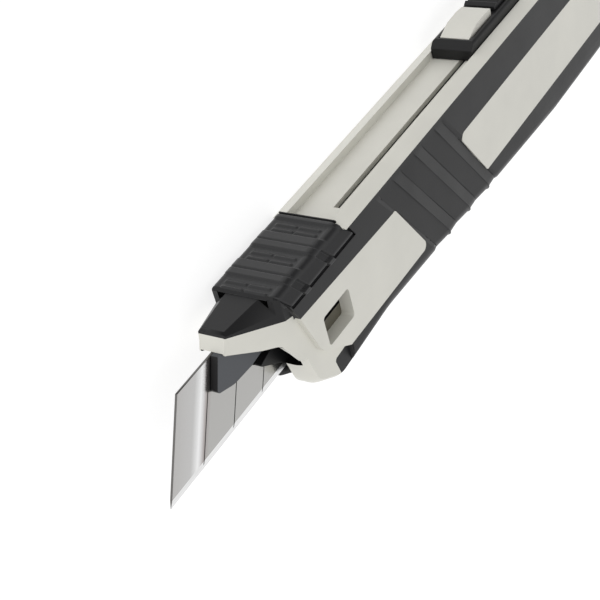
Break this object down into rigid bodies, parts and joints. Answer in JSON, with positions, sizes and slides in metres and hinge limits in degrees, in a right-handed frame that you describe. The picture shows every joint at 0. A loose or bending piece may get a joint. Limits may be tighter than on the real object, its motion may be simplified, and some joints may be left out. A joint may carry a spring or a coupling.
{
  "type": "utility knife",
  "caption": "Heavy-duty snap-off utility knife with a two-part hard body, soft grip, ribbed thumb rest, recessed slider track and segmented blade.",
  "frame": {"origin": "middle of the bounding box at the bottom, which is the plane of the right side that the knife lies on", "axes": "+X forward towards the blade tip, +Y towards the cutting edge, +Z to the knife's left, away from the surface it lies on"},
  "size_m": [0.202, 0.0374, 0.0166],
  "materials": {
    "cream_plastic": "satin off-white hard plastic",
    "soft_grip": "matte charcoal elastomer",
    "guide_metal": "dark grey coated",
    "blade_steel": "ground steel",
    "channel_steel": "rolled sheet",
    "screw_steel": "zinc plated",
    "spring_steel": "spring steel",
    "slider_plastic": "fine texture black",
    "button_plastic": "satin off-white",
    "cap_plastic": "fine texture charcoal"
  },
  "bodies": {
    "handle": {"left_shell": "cream_plastic", "right_shell": "cream_plastic", "left_grip": "soft_grip", "right_grip": "soft_grip", "case_screws": "screw_steel", "shell_dowels": "screw_steel", "guide_dowel": "screw_steel", "blade_guide": "guide_metal", "blade_channel": "channel_steel"},
    "slider": {"slider": "slider_plastic", "slider_pad": "soft_grip", "blade_carrier": "channel_steel", "carrier_peg": "screw_steel", "slider_rivets": "screw_steel", "blade": "blade_steel", "lock_spring": "spring_steel", "button_spring": "spring_steel"},
    "button": {"lock_button": "button_plastic"},
    "cap": {"end_cap": "cap_plastic", "cap_clip": "spring_steel"}
  },
  "joints": [
    {"name": "blade_slide", "type": "slide", "parent": "handle", "child": "slider", "axis": [1, 0, 0], "range_m": [-0.042, 0.05], "deforming": ["lock_spring"]},
    {"name": "button_press", "type": "slide", "parent": "slider", "child": "button", "axis": [0, 1, 0], "range_m": [0, 0.0012], "stiffness_N_per_m": 300, "springref_m": -0.001, "deforming": ["lock_spring", "button_spring"]},
    {"name": "cap_pull", "type": "slide", "parent": "handle", "child": "cap", "axis": [-1, 0, 0], "range_m": [0, 0.012]}
  ]
}
